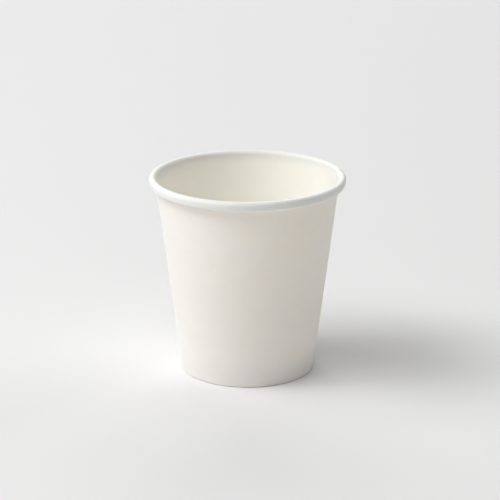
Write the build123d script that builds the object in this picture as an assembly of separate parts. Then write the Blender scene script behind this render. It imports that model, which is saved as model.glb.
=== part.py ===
from build123d import *
import math
import os

# Sizes of the whole cup, in millimetres
rim_diameter = 62.0
cup_height = 63.4
base_diameter = 42.3

# Paperboard of the side wall and of the bottom
wall_board = 0.30
floor_board = 0.28

# Rolled rim: one full turn of the sheet, hollow, with a straight flank between its upper and lower bends
roll_width = 2.3
roll_flank = 0.94
roll_gap = 0.10

# Foot of the wall, creased and folded in and up round the skirt of the bottom
hem_height = 5.0

# Bottom disc, recessed above the foot, with its skirt creased and turned down
floor_height = 6.0
skirt_foot_gap = 0.10
seal_gap = 0.02

# Side seam, where one straight edge of the blank laps over the other
seam_width = 6.5
seam_ramp = 1.0
seam_azimuth = 15.0
seam_bond = 0.10

# Slope of the wall: its outer face starts at the base corner and is tangent to the inside of the roll
roll_radius = roll_width / 2
roll_center_r = rim_diameter / 2 - roll_radius
roll_center_z = cup_height - roll_radius
roll_bore = roll_radius - wall_board
base_radius = base_diameter / 2
reach = math.hypot(roll_center_r - base_radius, roll_center_z)
lean = math.atan2(roll_center_r - base_radius, roll_center_z) - math.asin(roll_bore / reach)

# Directions in the section: up along the wall, and square to it towards the axis of the cup
up_wall = Vector(math.sin(lean), math.cos(lean))
to_axis = Vector(-math.cos(lean), math.sin(lean))

# Places that several features share
roll_center = Vector(roll_center_r, roll_center_z)
tail_shift = (wall_board + roll_gap) / 2
lower_center = roll_center - to_axis * tail_shift - up_wall * roll_flank
lower_radius = roll_radius - tail_shift
roll_low = lower_center.Y - lower_radius
hem_depth = 2 * wall_board + floor_board + 2 * seal_gap
crease_radius = wall_board


def wall_point(z, depth):
    """Point of the section at height z, at a depth measured square to the outer face of the wall."""
    return Vector(base_radius + z * math.tan(lean) - depth / math.cos(lean), z)


def clockwise(center, radius, start, turn):
    """Arc about a center that starts in the given direction and turns clockwise, in degrees."""
    first = math.degrees(math.atan2(start.Y, start.X))
    return CenterArc((center.X, center.Y), radius, first, -turn)


def creased(corners, radius):
    """Line through the corners, each rounded to the radius, or left sharp where the radius is nothing."""
    return FilletPolyline(*corners, radius=radius) if radius > 0 else Polyline(*corners)


def sheet_line(depth):
    """One face of the side wall's sheet in section, from the top of the hem to the end of the roll."""
    corners = (
        wall_point(hem_height, hem_depth - depth),
        wall_point(depth, hem_depth - depth),
        wall_point(depth, depth),
        roll_center + to_axis * (roll_bore + depth),
    )
    foot_and_wall = creased(corners, crease_radius - depth)
    over = clockwise(roll_center, roll_bore + depth, to_axis, 180)
    flank = Line(over @ 1, over @ 1 - up_wall * roll_flank)
    under = clockwise(lower_center, lower_radius - wall_board + depth, -to_axis, 180)
    tail = Line(under @ 1, under @ 1 + up_wall * roll_flank)
    return Curve() + [foot_and_wall, over, flank, under, tail], foot_and_wall @ 0, tail @ 1


def turned(section):
    """Solid made by turning a section, drawn in radius and height, once round the cup's axis."""
    return revolve(Plane.XZ * section, Axis.Z, 360)


def face_of(*lines):
    """Flat face bounded by the given lines."""
    outline = Curve()
    for line in lines:
        outline += line
    return make_face(outline)


def rolled_sheet():
    """The wall as one sheet: hem, foot fold, cone and hollow rim roll."""
    outer, outer_start, outer_end = sheet_line(0)
    inner, inner_start, inner_end = sheet_line(wall_board)
    section = face_of(outer, Line(outer_end, inner_end), inner, Line(outer_start, inner_start))
    return turned(section)


def lap_layer(low, high, near, far):
    """Second thickness of board between two depths, all round the cup, before the seam is cut from it."""
    corners = wall_point(low, near), wall_point(low, far), wall_point(high, far), wall_point(high, near)
    return turned(face_of(Polyline(*corners, close=True)))


def seam_strip():
    """Straight strip that follows the slope of the wall, square on one edge and ramped on the other."""
    middle = wall_point((crease_radius + roll_low) / 2, 0)
    half = seam_width / 2
    drop = middle.X - math.sqrt(middle.X ** 2 - half ** 2)
    skin = math.sqrt((middle.X + wall_board) ** 2 - (half - seam_ramp) ** 2) - middle.X
    slope = (skin + drop) / seam_ramp
    margin = 2 * hem_depth
    ramp_foot = half + seam_bond / slope
    ramp_head = half - seam_ramp - seam_bond / slope
    profile = Polyline(
        (-half, margin),
        (-half, -margin),
        (ramp_foot, -margin),
        (ramp_foot, -drop - seam_bond),
        (ramp_head, skin + seam_bond),
        (ramp_head, margin),
        close=True,
    )
    across_wall = Plane(
        origin=(middle.X, 0, middle.Y),
        x_dir=(0, -1, 0),
        z_dir=(up_wall.X, 0, up_wall.Y),
    )
    return extrude(across_wall * make_face(profile), amount=cup_height, both=True)


def side_wall():
    """Side wall with the lapped seam, up its outer face and up the inner face of the hem."""
    outside = lap_layer(crease_radius, roll_low, seam_bond, -wall_board)
    inside = lap_layer(crease_radius, hem_height, hem_depth + wall_board, hem_depth - seam_bond)
    lap = (outside + inside) & seam_strip()
    return rolled_sheet() + Rot(0, 0, seam_azimuth) * lap


def disc_line(depth):
    """One face of the bottom's sheet in section, from the axis of the cup to the foot of the skirt."""
    level = floor_height + floor_board - depth
    inset = wall_board + seal_gap + depth
    corners = (0, level), wall_point(level, inset), wall_point(wall_board + skirt_foot_gap, inset)
    line = creased(corners, floor_board - depth)
    return line, line @ 0, line @ 1


def bottom():
    """Bottom disc with its skirt turned down between the wall and the hem."""
    upper, upper_middle, upper_foot = disc_line(0)
    lower, lower_middle, lower_foot = disc_line(floor_board)
    section = face_of(upper, Line(upper_foot, lower_foot), lower, Line(lower_middle, upper_middle))
    return turned(section)


os.makedirs("parts", exist_ok=True)
pieces = {"sidewall": side_wall(), "bottom_disc": bottom()}
for name, piece in pieces.items():
    export_step(piece, f"parts/{name}.step")
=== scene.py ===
"""A small white paper coffee cup on a pale studio floor.

The cup is two sheets of paperboard: a side wall, lapped at a seam, curled at the rim and folded at the
foot, and a bottom disc whose skirt is held in that fold. Lengths are in metres.
"""

import logging
import math
from dataclasses import dataclass, field
from enum import Enum

import bmesh
import bpy
from mathutils import Matrix, Vector, noise


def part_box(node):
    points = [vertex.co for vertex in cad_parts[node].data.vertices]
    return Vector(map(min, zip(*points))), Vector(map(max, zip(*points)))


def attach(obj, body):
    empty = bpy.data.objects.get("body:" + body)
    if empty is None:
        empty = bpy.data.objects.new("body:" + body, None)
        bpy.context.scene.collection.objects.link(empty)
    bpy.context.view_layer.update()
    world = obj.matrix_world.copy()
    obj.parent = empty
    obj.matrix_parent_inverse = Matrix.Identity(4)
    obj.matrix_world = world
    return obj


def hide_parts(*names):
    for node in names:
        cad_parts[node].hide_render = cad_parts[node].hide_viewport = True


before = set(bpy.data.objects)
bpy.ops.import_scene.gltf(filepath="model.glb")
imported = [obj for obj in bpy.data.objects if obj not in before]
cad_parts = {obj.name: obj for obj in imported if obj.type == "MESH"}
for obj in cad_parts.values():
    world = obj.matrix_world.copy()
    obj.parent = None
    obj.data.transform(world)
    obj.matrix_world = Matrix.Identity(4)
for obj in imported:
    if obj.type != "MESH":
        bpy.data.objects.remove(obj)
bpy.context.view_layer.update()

MM = 0.001
PICTURE_SIDE = 500
SENSOR_WIDTH = 36.0
SIDE_LAYER = "film"
MID = 0.5

log = logging.getLogger("paper_cup")


class Side(Enum):
    """The two faces of the board, by the value that the mesh attribute holds for each."""

    PRINT = 0.0
    FILM = 1.0


@dataclass(frozen=True)
class CupSection:
    """The cup's section in the XZ plane.

    The overall radius and height are read from the frame. A depth is measured square to the outer face of
    the wall, towards the axis. The foot stands on a flat ring, foot_rest wide. Outside that ring the fold
    turns up at the angle foot_rise, and leaves a dark line at the floor.
    """

    rim_radius: float
    height: float
    base_radius: float = 21.15 * MM
    board: float = 0.30 * MM
    floor_board: float = 0.28 * MM
    roll_radius: float = 1.15 * MM
    roll_flank: float = 0.94 * MM
    roll_gap: float = 0.10 * MM
    hem_height: float = 5.0 * MM
    floor_height: float = 6.0 * MM
    seal_gap: float = 0.02 * MM
    skirt_foot_gap: float = 0.10 * MM
    foot_rest: float = 0.12 * MM
    foot_rise: float = math.radians(24)

    @property
    def roll_bore(self) -> float:
        """Radius of the roll's upper bend, on the print side of the board."""
        return self.roll_radius - self.board

    @property
    def roll_center(self) -> Vector:
        """Center of the roll's upper bend."""
        return Vector((self.rim_radius - self.roll_radius, 0, self.height - self.roll_radius))

    @property
    def lean(self) -> float:
        """Angle between the wall and the cup's axis, in radians."""
        across = self.roll_center.x - self.base_radius
        reach = math.hypot(across, self.roll_center.z)
        return math.atan2(across, self.roll_center.z) - math.asin(self.roll_bore / reach)

    @property
    def up_wall(self) -> Vector:
        """Direction up the wall."""
        return Vector((math.sin(self.lean), 0, math.cos(self.lean)))

    @property
    def to_axis(self) -> Vector:
        """Direction square to the wall, towards the axis."""
        return Vector((-math.cos(self.lean), 0, math.sin(self.lean)))

    @property
    def hem_depth(self) -> float:
        """Depth of the hem's visible face, past the wall, the skirt and the hem itself."""
        return 2 * self.board + self.floor_board + 2 * self.seal_gap

    @property
    def lower_center(self) -> Vector:
        """Center of the roll's lower bend."""
        shift = (self.board + self.roll_gap) / 2
        return self.roll_center - self.to_axis * shift - self.up_wall * self.roll_flank

    @property
    def lower_radius(self) -> float:
        """Radius of the roll's lower bend, on the film side of the board."""
        return self.roll_radius - (self.board + self.roll_gap) / 2

    @property
    def roll_low(self) -> float:
        """Height of the lowest point of the roll."""
        return self.lower_center.z - self.lower_radius

    def wall_radius(self, z: float) -> float:
        """Outer radius of the wall at a height."""
        return self.base_radius + z * math.tan(self.lean)

    def wall_point(self, z: float, depth: float) -> Vector:
        """Point of the section at a height and a depth."""
        return Vector((self.wall_radius(z) - depth / math.cos(self.lean), 0, z))

    def depth_at(self, point: Vector) -> float:
        """Depth of any point of the cup."""
        return (self.wall_radius(point.z) - math.hypot(point.x, point.y)) * math.cos(self.lean)


class SectionPen:
    """Draws a chain of edges in the XZ plane, and notes which side of the board each point is on."""

    def __init__(self, mesh: bmesh.types.BMesh, start: Vector, side: Side) -> None:
        """Puts the pen down.

        Args:
            mesh: The mesh to draw in.
            start: The first point.
            side: The side of the board that the chain starts on.
        """
        self.mesh = mesh
        self.layer = mesh.verts.layers.float.get(SIDE_LAYER) or mesh.verts.layers.float.new(SIDE_LAYER)
        self.side = side
        self.tip = bmesh.ops.create_vert(mesh, co=start)["vert"][0]
        self.tip[self.layer] = side.value

    def line(self, end: Vector, parts: int = 1) -> None:
        """Draws a straight run to a point, in equal parts."""
        step = (end - self.tip.co) / parts
        for _ in range(parts):
            self.tip = bmesh.ops.extrude_vert_indiv(self.mesh, verts=[self.tip])["verts"][0]
            self.tip[self.layer] = self.side.value
            bmesh.ops.translate(self.mesh, verts=[self.tip], vec=step)

    def bend(self, center: Vector, turn: float, parts: int) -> None:
        """Draws an arc about a center.

        Args:
            center: The center of the arc.
            turn: The angle in radians, clockwise as seen from the front.
            parts: The number of equal parts.
        """
        made = bmesh.ops.spin(
            self.mesh, geom=[self.tip], cent=center, axis=(0, 1, 0), angle=turn, steps=parts,
            use_merge=False, use_duplicate=False,
        )
        self.tip = next(item for item in made["geom_last"] if isinstance(item, bmesh.types.BMVert))

    def cross(self, end: Vector, side: Side) -> None:
        """Draws the cut edge of the board to a point on its other side."""
        self.side = side
        self.line(end)


@dataclass(frozen=True)
class Sampling:
    """How finely the sheets are divided, and how close to a face a point is on it."""

    around: int = 384
    along_wall: int = 30
    along_hem: int = 5
    along_flank: int = 2
    roll_bend: int = 14
    crease: int = 4
    along_disc: int = 12
    merge: float = 0.0005 * MM
    tolerance: float = 0.03 * MM
    sharp_angle: float = math.radians(38)


def turned(mesh: bmesh.types.BMesh, sampling: Sampling) -> None:
    """Turns the drawn section once round the axis, closes the seams and poles, and points the faces out.

    Args:
        mesh: The mesh that holds the section.
        sampling: The number of steps and the merging distance.
    """
    bmesh.ops.remove_doubles(mesh, verts=mesh.verts[:], dist=sampling.merge)
    bmesh.ops.spin(
        mesh, geom=mesh.verts[:] + mesh.edges[:], cent=(0, 0, 0), axis=(0, 0, 1), angle=math.tau,
        steps=sampling.around, use_merge=True, use_duplicate=False,
    )
    bmesh.ops.remove_doubles(mesh, verts=mesh.verts[:], dist=sampling.merge)
    bmesh.ops.recalc_face_normals(mesh, faces=mesh.faces[:])
    mesh.normal_update()


def finished_object(mesh: bmesh.types.BMesh, name: str, sampling: Sampling) -> bpy.types.Object:
    """Makes an object of a mesh, shaded smooth but for its sharp edges.

    Args:
        mesh: The finished mesh, which is freed.
        name: The name of the object.
        sampling: Holds the angle past which an edge is sharp.

    Returns:
        The object, linked to the scene, at the origin.
    """
    for face in mesh.faces:
        face.smooth = True
    for edge in mesh.edges:
        edge.smooth = edge.calc_face_angle(0.0) < sampling.sharp_angle
    data = bpy.data.meshes.new(name)
    mesh.to_mesh(data)
    mesh.free()
    made = bpy.data.objects.new(name, data)
    bpy.context.scene.collection.objects.link(made)
    return made


@dataclass(frozen=True)
class SideSeam:
    """The lap of the side wall, seen outside as one raised edge and one ramp, and inside as a fine line.

    An offset is measured across the seam, from its middle line, towards the front of the cup.
    """

    azimuth: float = math.radians(15)
    width: float = 6.5 * MM
    ramp: float = 1.0 * MM
    slit: float = 0.03 * MM
    crack: float = 0.12 * MM
    taper: float = 0.5 * MM
    reach: float = math.radians(25)

    @property
    def outward(self) -> Vector:
        """Direction from the axis to the middle of the seam."""
        return Vector((math.cos(self.azimuth), math.sin(self.azimuth), 0))

    @property
    def across(self) -> Vector:
        """Direction across the seam, towards the front of the cup."""
        return Vector((math.sin(self.azimuth), -math.cos(self.azimuth), 0))

    @property
    def ramp_head(self) -> float:
        """Offset where the ramp starts to fall, over the covered edge of the board."""
        return self.width / 2 - self.ramp

    def near(self, point: Vector) -> bool:
        """Whether a point is in the stretch of the cup that the seam's cuts may reach."""
        return self.outward.angle(Vector((point.x, point.y, 0)), math.pi) < self.reach

    def cut(self, mesh: bmesh.types.BMesh, merge: float) -> None:
        """Divides the sheet along the edges of the lap.

        Args:
            mesh: The turned side wall.
            merge: The distance within which a point counts as on a cut.
        """
        half = self.width / 2
        # A second cut beside each of the two square edges keeps the step there one slit wide.
        for offset in (-half - self.slit, -half, self.ramp_head, self.ramp_head + self.slit, half):
            faces = [face for face in mesh.faces if self.near(face.calc_center_median())]
            edges = {edge for face in faces for edge in face.edges}
            verts = {vert for face in faces for vert in face.verts}
            bmesh.ops.bisect_plane(
                mesh, geom=[*verts, *edges, *faces], dist=merge,
                plane_co=self.across * offset, plane_no=self.across,
            )

    def lap(self, point: Vector) -> float:
        """Share of the board's thickness by which the lap stands out at a point."""
        offset = point.dot(self.across)
        half = self.width / 2
        if not self.near(point) or offset < -half - self.slit / 2 or offset > half:
            return 0.0
        return min(1.0, (half - offset) / self.ramp)

    def inner_line(self, point: Vector) -> float:
        """Depth of the fine line where the covered edge of the board shows inside."""
        offset = point.dot(self.across) - self.ramp_head
        if not self.near(point) or offset < self.slit / 2 or offset > self.ramp:
            return 0.0
        return self.crack * (1 - (offset - self.slit) / (self.ramp - self.slit))


@dataclass(frozen=True)
class HemKnurl:
    """The ribs that a knurling wheel presses into the hem to hold the bottom."""

    count: int = 96
    depth: float = 0.07 * MM

    def press(self, azimuth: float) -> float:
        """Depth of the pressed ribs at an azimuth."""
        return self.depth * (1 - math.cos(self.count * azimuth)) / 2


@dataclass(frozen=True)
class BoardWaver:
    """The slight unevenness of rolled paperboard."""

    height: float = 0.045 * MM
    length: float = 14.0 * MM
    offset: float = 3.7

    def at(self, point: Vector) -> float:
        """Movement of the board at a point, towards or away from the axis."""
        return self.height * noise.noise(point / self.length + Vector((self.offset, 0, 0)))


@dataclass
class SideWall:
    """The wall of the cup: one blank, lapped, curled at the rim and folded at the foot."""

    section: CupSection
    sampling: Sampling = field(default_factory=Sampling)
    seam: SideSeam = field(default_factory=SideSeam)
    knurl: HemKnurl = field(default_factory=HemKnurl)
    waver: BoardWaver = field(default_factory=BoardWaver)

    def draw(self, mesh: bmesh.types.BMesh) -> None:
        """Draws the closed section of the sheet: up its print side, and back down its film side."""
        cup = self.section
        hem_top = cup.wall_point(cup.hem_height, cup.hem_depth)
        pen = SectionPen(mesh, hem_top, Side.PRINT)
        self.draw_print_side(pen)
        pen.cross(pen.tip.co + cup.to_axis * cup.board, Side.FILM)
        self.draw_film_side(pen)
        pen.cross(hem_top, Side.PRINT)

    def draw_print_side(self, pen: SectionPen) -> None:
        """Draws from the top of the hem, round the foot, up the outer face and round the roll."""
        cup, fine = self.section, self.sampling
        inner_turn = math.pi / 2 + cup.lean
        outer_turn = math.pi / 2 - cup.lean - cup.foot_rise
        inner_reach = cup.board * math.tan(inner_turn / 2)
        outer_reach = cup.board * math.tan(outer_turn / 2)
        inner_corner = cup.wall_point(0, cup.hem_depth)
        # The film side keeps a sharp corner at a crease, so the arc's radius is the board's thickness.
        pen.line(inner_corner + cup.up_wall * inner_reach, fine.along_hem)
        pen.bend(inner_corner + Vector((inner_reach, 0, cup.board)), -inner_turn, fine.crease)
        pen.line(inner_corner + Vector((inner_reach + cup.foot_rest, 0, 0)))
        slope = Vector((math.cos(cup.foot_rise), 0, math.sin(cup.foot_rise)))
        span = (cup.base_radius - pen.tip.co.x) / (slope.x - slope.z * math.tan(cup.lean))
        pen.line(pen.tip.co + slope * (span - outer_reach))
        pen.bend(pen.tip.co + Vector((-slope.z, 0, slope.x)) * cup.board, -outer_turn, fine.crease)
        pen.line(cup.wall_point(cup.roll_low, 0), fine.along_wall)
        pen.line(cup.wall_point(cup.roll_low + self.seam.taper, 0))
        pen.line(cup.roll_center + cup.to_axis * cup.roll_bore, fine.along_flank)
        pen.bend(cup.roll_center, math.pi, fine.roll_bend)
        pen.line(pen.tip.co - cup.up_wall * cup.roll_flank, fine.along_flank)
        pen.bend(cup.lower_center, math.pi, fine.roll_bend)
        pen.line(pen.tip.co + cup.up_wall * cup.roll_flank, fine.along_flank)

    def draw_film_side(self, pen: SectionPen) -> None:
        """Draws back round the roll, down the inner face, across the foot and up to the top of the hem."""
        cup, fine = self.section, self.sampling
        pen.line(pen.tip.co - cup.up_wall * cup.roll_flank, fine.along_flank)
        pen.bend(cup.lower_center, -math.pi, fine.roll_bend)
        pen.line(pen.tip.co + cup.up_wall * cup.roll_flank, fine.along_flank)
        pen.bend(cup.roll_center, -math.pi, fine.roll_bend)
        pen.line(cup.wall_point(cup.roll_low + self.seam.taper, cup.board), fine.along_flank)
        pen.line(cup.wall_point(cup.roll_low, cup.board))
        pen.line(cup.wall_point(cup.board, cup.board), fine.along_wall)
        pen.line(cup.wall_point(cup.board, cup.hem_depth - cup.board))
        pen.line(cup.wall_point(cup.hem_height, cup.hem_depth - cup.board), fine.along_hem)

    def outward(self, point: Vector) -> Vector:
        """Direction square to the wall, away from the axis, at any point of it."""
        azimuth = math.atan2(point.y, point.x)
        return Matrix.Rotation(azimuth, 3, "Z") @ -self.section.to_axis

    def shape_seam(self, mesh: bmesh.types.BMesh) -> None:
        """Raises the lap on the print side, and opens the fine line on the film side."""
        cup, seam = self.section, self.seam
        layer = mesh.verts.layers.float[SIDE_LAYER]
        tolerance = self.sampling.tolerance
        seam.cut(mesh, self.sampling.merge)
        mesh.normal_update()
        for vert in mesh.verts:
            if not seam.near(vert.co):
                continue
            depth, z = cup.depth_at(vert.co), vert.co.z
            if vert[layer] > MID:
                if z > cup.floor_height:
                    vert.co -= vert.normal * seam.inner_line(vert.co)
                continue
            # The lap runs out to nothing at the fold of the foot, which stays flat on the floor.
            foot_share = min(1.0, max(0.0, (z - cup.board) / seam.taper))
            lift = self.outward(vert.co) * cup.board * seam.lap(vert.co) * foot_share
            if abs(depth) < tolerance and z < cup.roll_low + tolerance:
                vert.co += lift
            elif abs(depth - cup.hem_depth) < tolerance and z < cup.hem_height + tolerance:
                vert.co -= lift

    def shape_knurl(self, mesh: bmesh.types.BMesh) -> None:
        """Presses the ribs into the visible face of the hem."""
        cup = self.section
        layer = mesh.verts.layers.float[SIDE_LAYER]
        for vert in mesh.verts:
            on_hem = vert[layer] < MID and cup.depth_at(vert.co) > cup.hem_depth - cup.board / 2
            if on_hem and cup.board < vert.co.z < cup.hem_height - cup.board / 2:
                vert.co += self.outward(vert.co) * self.knurl.press(math.atan2(vert.co.y, vert.co.x))

    def shape_waver(self, mesh: bmesh.types.BMesh) -> None:
        """Moves the free stretch of the wall by the board's own unevenness, both faces alike."""
        cup = self.section
        low, high = cup.floor_height, cup.roll_low
        for vert in mesh.verts:
            if low < vert.co.z < high:
                share = math.sqrt(math.sin(math.pi * (vert.co.z - low) / (high - low)))
                vert.co += self.outward(vert.co) * self.waver.at(vert.co) * share

    def build(self) -> bpy.types.Object:
        """Builds the side wall.

        Returns:
            The object that stands for the sidewall node.
        """
        mesh = bmesh.new()
        self.draw(mesh)
        turned(mesh, self.sampling)
        self.shape_seam(mesh)
        self.shape_knurl(mesh)
        self.shape_waver(mesh)
        return finished_object(mesh, "sidewall_board", self.sampling)

    def dress(self, piece: bpy.types.Object, finish: bpy.types.Material) -> None:
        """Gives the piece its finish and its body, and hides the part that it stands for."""
        piece.data.materials.append(finish)
        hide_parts("sidewall")
        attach(piece, "root")


@dataclass
class BottomDisc:
    """The bottom of the cup: a disc whose edge is turned down as a skirt."""

    section: CupSection
    sampling: Sampling = field(default_factory=Sampling)

    def draw(self, mesh: bmesh.types.BMesh) -> None:
        """Draws the section from the axis, over the top and down the skirt, and back underneath."""
        cup, fine = self.section, self.sampling
        top = cup.floor_height + cup.floor_board
        near = cup.board + cup.seal_gap
        far = near + cup.floor_board
        foot = cup.board + cup.skirt_foot_gap
        corner = cup.wall_point(top, near)
        turn = math.pi / 2 + cup.lean
        reach = cup.floor_board * math.tan(turn / 2)
        pen = SectionPen(mesh, Vector((0, 0, top)), Side.FILM)
        pen.line(corner - Vector((reach, 0, 0)), fine.along_disc)
        pen.bend(corner - Vector((reach, 0, cup.floor_board)), turn, fine.crease)
        pen.line(cup.wall_point(foot, near), fine.along_hem)
        pen.cross(cup.wall_point(foot, far), Side.PRINT)
        pen.line(cup.wall_point(cup.floor_height, far), fine.along_hem)
        pen.line(Vector((0, 0, cup.floor_height)), fine.along_disc)

    def build(self) -> bpy.types.Object:
        """Builds the bottom.

        Returns:
            The object that stands for the bottom_disc node.
        """
        mesh = bmesh.new()
        self.draw(mesh)
        turned(mesh, self.sampling)
        return finished_object(mesh, "bottom_disc_board", self.sampling)

    def dress(self, piece: bpy.types.Object, finish: bpy.types.Material) -> None:
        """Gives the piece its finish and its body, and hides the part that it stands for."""
        piece.data.materials.append(finish)
        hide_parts("bottom_disc")
        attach(piece, "root")


class Value:
    """A number that varies over a surface. Arithmetic on it adds Math nodes."""

    def __init__(self, graph: "Graph", socket: bpy.types.NodeSocket) -> None:
        """Wraps an output socket of a graph."""
        self.graph = graph
        self.socket = socket

    def math(self, operation: str, first: "Operand", second: "Operand") -> "Value":
        """Adds a Math node."""
        return self.graph.node("ShaderNodeMath", {"operation": operation}, {0: first, 1: second})

    def __add__(self, other: "Operand") -> "Value":
        """Self plus other."""
        return self.math("ADD", self, other)

    def __radd__(self, other: "Operand") -> "Value":
        """Other plus self."""
        return self.math("ADD", other, self)

    def __sub__(self, other: "Operand") -> "Value":
        """Self less other."""
        return self.math("SUBTRACT", self, other)

    def __rsub__(self, other: "Operand") -> "Value":
        """Other less self."""
        return self.math("SUBTRACT", other, self)

    def __mul__(self, other: "Operand") -> "Value":
        """Self times other."""
        return self.math("MULTIPLY", self, other)

    def __rmul__(self, other: "Operand") -> "Value":
        """Other times self."""
        return self.math("MULTIPLY", other, self)


Operand = Value | float | tuple
Socket = int | str


class Graph:
    """The node tree of a material or a world."""

    def __init__(self, tree: bpy.types.NodeTree) -> None:
        """Empties the tree."""
        self.tree = tree
        tree.nodes.clear()

    def node(
        self, kind: str, settings: dict[str, object], values: dict[Socket, Operand], output: Socket = 0,
    ) -> Value:
        """Adds a node.

        Args:
            kind: The node's type.
            settings: The node's own settings, by name.
            values: A number, a colour or a link for each named socket.
            output: The socket to return.

        Returns:
            The chosen output.
        """
        made = self.tree.nodes.new(kind)
        for name, setting in settings.items():
            setattr(made, name, setting)
        for name, value in values.items():
            if isinstance(value, Value):
                self.tree.links.new(value.socket, made.inputs[name])
            else:
                made.inputs[name].default_value = value
        return Value(self, made.outputs[output] if made.outputs else None)

    def mix(self, share: Value, first: Operand, second: Operand) -> Value:
        """Mixes two colours, from the first at 0 to the second at 1."""
        return self.node("ShaderNodeMix", {"data_type": "RGBA"}, {0: share, 6: first, 7: second}, 2)


Colour = tuple[float, float, float, float]


@dataclass(frozen=True)
class Mottle:
    """A cloudy pattern, by the width of its patches and the number of finer layers in it."""

    size: float
    detail: float
    roughness: float = 0.55

    def over(self, graph: Graph, place: Value) -> Value:
        """Adds the pattern, from 0 to 1, at a place in Object coordinates."""
        look = {"Scale": 1 / self.size, "Detail": self.detail, "Roughness": self.roughness}
        return graph.node("ShaderNodeTexNoise", {"noise_dimensions": "3D"}, {"Vector": place, **look}, "Fac")


@dataclass(frozen=True)
class PaperBoard:
    """White paperboard: cloudy formation, a fine fibre grain, and a smooth film on its inner side.

    A height is that of the relief, and film_fill is the share of it that the film levels. The glow is the
    light that spreads inside the board: it reaches glow_depth, times glow_tint for red, green and blue.
    """

    name: str
    pale: Colour = (0.905, 0.880, 0.842, 1.0)
    deep: Colour = (0.886, 0.858, 0.814, 1.0)
    film: Colour = (0.974, 0.940, 0.872, 1.0)
    cloud: Mottle = Mottle(5.0 * MM, 4.0)
    pulp: Mottle = Mottle(1.6 * MM, 3.0)
    grain: Mottle = Mottle(0.35 * MM, 2.0)
    cloud_tint: float = 1.6
    pulp_tint: float = 0.5
    pulp_height: float = 0.02 * MM
    grain_height: float = 0.006 * MM
    film_fill: float = 0.6
    print_roughness: float = 0.82
    film_roughness: float = 0.55
    grain_roughness: float = 0.1
    specular: float = 0.35
    glow_depth: float = 0.32 * MM
    glow_tint: tuple[float, float, float] = (1.0, 0.92, 0.80)

    def material(self) -> bpy.types.Material:
        """Makes the material.

        Returns:
            The finished material.
        """
        made = bpy.data.materials.new(self.name)
        made.use_nodes = True
        graph = Graph(made.node_tree)
        place = graph.node("ShaderNodeTexCoord", {}, {}, "Object")
        film = graph.node("ShaderNodeAttribute", {"attribute_name": SIDE_LAYER}, {}, "Fac")
        cloud = self.cloud.over(graph, place)
        pulp = self.pulp.over(graph, place)
        grain = self.grain.over(graph, place)
        tint = (cloud - MID) * self.cloud_tint + (pulp - MID) * self.pulp_tint + MID
        colour = graph.mix(film, graph.mix(tint, self.deep, self.pale), self.film)
        relief = (grain * self.grain_height + pulp * self.pulp_height) * (1 - self.film_fill * film)
        bump = graph.node("ShaderNodeBump", {}, {"Strength": 1.0, "Distance": 1.0, "Height": relief})
        roughness = self.print_roughness - (self.print_roughness - self.film_roughness) * film
        shader = graph.node(
            "ShaderNodeBsdfPrincipled", {},
            {
                "Base Color": colour,
                "Roughness": roughness + (grain - MID) * self.grain_roughness,
                "Specular IOR Level": self.specular,
                "Subsurface Weight": 1.0,
                "Subsurface Scale": self.glow_depth,
                "Subsurface Radius": self.glow_tint,
                "Normal": bump,
            },
        )
        graph.node("ShaderNodeOutputMaterial", {}, {"Surface": shader})
        return made


@dataclass(frozen=True)
class Lamp:
    """A soft rectangular lamp aimed at the cup.

    Its azimuth is in degrees from the front, positive to the right, and its elevation in degrees above the
    floor. Its power is in watts.
    """

    name: str
    azimuth: float
    elevation: float
    power: float
    width: float = 1.0
    height: float = 1.0
    colour: tuple[float, float, float] = (1.0, 1.0, 1.0)
    distance: float = 1.8

    def place(self, aim: Vector) -> bpy.types.Object:
        """Adds the lamp to the scene.

        Args:
            aim: The point that the lamp faces.

        Returns:
            The lamp's object.
        """
        data = bpy.data.lights.new(self.name, "AREA")
        data.shape = "RECTANGLE"
        data.size = self.width
        data.size_y = self.height
        data.energy = self.power
        data.color = self.colour
        made = bpy.data.objects.new(self.name, data)
        azimuth, elevation = math.radians(self.azimuth), math.radians(self.elevation)
        level = math.cos(elevation)
        away = Vector((math.sin(azimuth) * level, -math.cos(azimuth) * level, math.sin(elevation)))
        made.location = aim + away * self.distance
        made.rotation_euler = away.to_track_quat("Z", "Y").to_euler()
        bpy.context.scene.collection.objects.link(made)
        return made


@dataclass(frozen=True)
class Viewpoint:
    """The camera, as fitted to the outline of the cup in the picture."""

    side: float = 0.8 * MM
    back: float = 665.2 * MM
    height: float = 253.0 * MM
    pitch: float = math.radians(17.863)
    focal_pixels: float = 2200.0

    def place(self) -> bpy.types.Object:
        """Adds the camera and makes it the scene's own."""
        data = bpy.data.cameras.new("camera")
        data.sensor_width = SENSOR_WIDTH
        data.lens = self.focal_pixels * SENSOR_WIDTH / PICTURE_SIDE
        made = bpy.data.objects.new("camera", data)
        made.location = (self.side, -self.back, self.height)
        made.rotation_euler = (math.pi / 2 - self.pitch, 0, 0)
        bpy.context.scene.collection.objects.link(made)
        bpy.context.scene.camera = made
        return made


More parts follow.
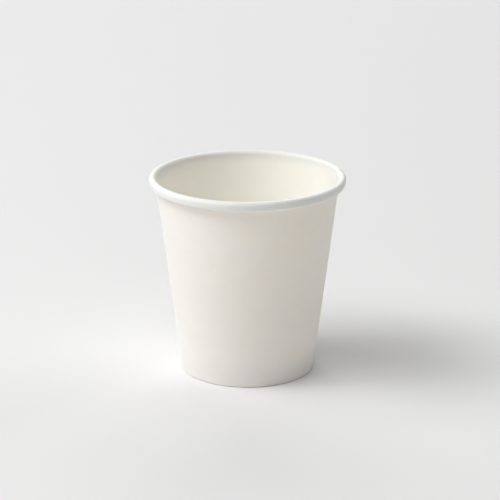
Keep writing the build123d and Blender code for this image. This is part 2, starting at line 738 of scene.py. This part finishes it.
@dataclass
class Studio:
    """The floor, the light and the camera round the cup."""

    lamps: tuple[Lamp, ...] = (
        Lamp("key_front", azimuth=-60, elevation=52, power=6.2, width=0.6, height=0.6),
        Lamp("key_side", azimuth=-84, elevation=42, power=7.4, width=0.6, height=0.6),
        Lamp("key_high", azimuth=-84, elevation=60, power=3.2, width=0.6, height=0.6),
        Lamp("key_back", azimuth=-108, elevation=48, power=4.4, width=0.6, height=0.6),
        Lamp("window", azimuth=-88, elevation=20, power=3.4, width=1.2),
        Lamp("fill_left", azimuth=-40, elevation=20, power=1.8),
        Lamp("fill_front", azimuth=0, elevation=20, power=3.5, colour=(1.0, 0.95, 0.89)),
        Lamp("fill_high", azimuth=-20, elevation=65, power=7.0),
        Lamp("fill_right", azimuth=120, elevation=25, power=6.8, width=1.2),
        Lamp("fill_back", azimuth=180, elevation=30, power=11.2, width=1.4),
    )
    floor_half: float = 4.0
    floor_roughness: float = 0.9
    floor_specular: float = 0.1
    floor_colour: Colour = (0.82, 0.82, 0.82, 1.0)
    sky_colour: Colour = (1.0, 0.99, 0.98, 1.0)
    sky_strength: float = 0.02
    horizon_colour: Colour = (0.80, 0.80, 0.80, 1.0)
    viewpoint: Viewpoint = field(default_factory=Viewpoint)

    def build_floor(self) -> bpy.types.Object:
        """Adds the floor.

        Returns:
            The floor.
        """
        mesh = bmesh.new()
        bmesh.ops.create_grid(mesh, x_segments=1, y_segments=1, size=self.floor_half)
        data = bpy.data.meshes.new("floor")
        mesh.to_mesh(data)
        mesh.free()
        made = bpy.data.objects.new("floor", data)
        bpy.context.scene.collection.objects.link(made)
        material = bpy.data.materials.new("floor_paint")
        material.use_nodes = True
        graph = Graph(material.node_tree)
        shader = graph.node(
            "ShaderNodeBsdfPrincipled", {},
            {
                "Base Color": self.floor_colour,
                "Roughness": self.floor_roughness,
                "Specular IOR Level": self.floor_specular,
            },
        )
        graph.node("ShaderNodeOutputMaterial", {}, {"Surface": shader})
        data.materials.append(material)
        return made

    def build_sky(self) -> None:
        """Sets the soft light from all round, and the plain colour that the camera sees past the floor."""
        world = bpy.data.worlds.new("studio")
        bpy.context.scene.world = world
        world.use_nodes = True
        graph = Graph(world.node_tree)
        seen = graph.node("ShaderNodeLightPath", {}, {}, "Is Camera Ray")
        kind = "ShaderNodeBackground"
        sky = graph.node(kind, {}, {"Color": self.sky_colour, "Strength": self.sky_strength})
        backdrop = graph.node(kind, {}, {"Color": self.horizon_colour, "Strength": 1.0})
        both = graph.node("ShaderNodeMixShader", {}, {0: seen, 1: sky, 2: backdrop})
        graph.node("ShaderNodeOutputWorld", {}, {"Surface": both})

    def build(self, aim: Vector) -> None:
        """Builds the studio.

        Args:
            aim: The point that the lamps face.
        """
        self.build_floor()
        self.build_sky()
        for lamp in self.lamps:
            lamp.place(aim)
        self.viewpoint.place()
        bpy.context.scene.view_settings.view_transform = "Standard"


def report(piece: bpy.types.Object) -> None:
    """Logs the size of a finished piece."""
    low = Vector(min(corner[axis] for corner in piece.bound_box) for axis in range(3)) / MM
    high = Vector(max(corner[axis] for corner in piece.bound_box) for axis in range(3)) / MM
    log.info(
        "%s: %d faces, from %s to %s mm", piece.name, len(piece.data.polygons),
        tuple(round(value, 3) for value in low), tuple(round(value, 3) for value in high),
    )


def main() -> None:
    """Builds the cup's two pieces and the studio round them."""
    logging.basicConfig(level=logging.INFO, format="%(name)s: %(message)s")
    low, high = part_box("sidewall")
    section = CupSection(rim_radius=high[0], height=high[2])
    wall = SideWall(section)
    wall_piece = wall.build()
    wall.dress(wall_piece, PaperBoard("wall_paperboard").material())
    report(wall_piece)
    disc = BottomDisc(section)
    disc_piece = disc.build()
    disc.dress(disc_piece, PaperBoard("bottom_paperboard").material())
    report(disc_piece)
    Studio().build(Vector((0, 0, section.height / 2)))


if __name__ == "__main__":
    main()
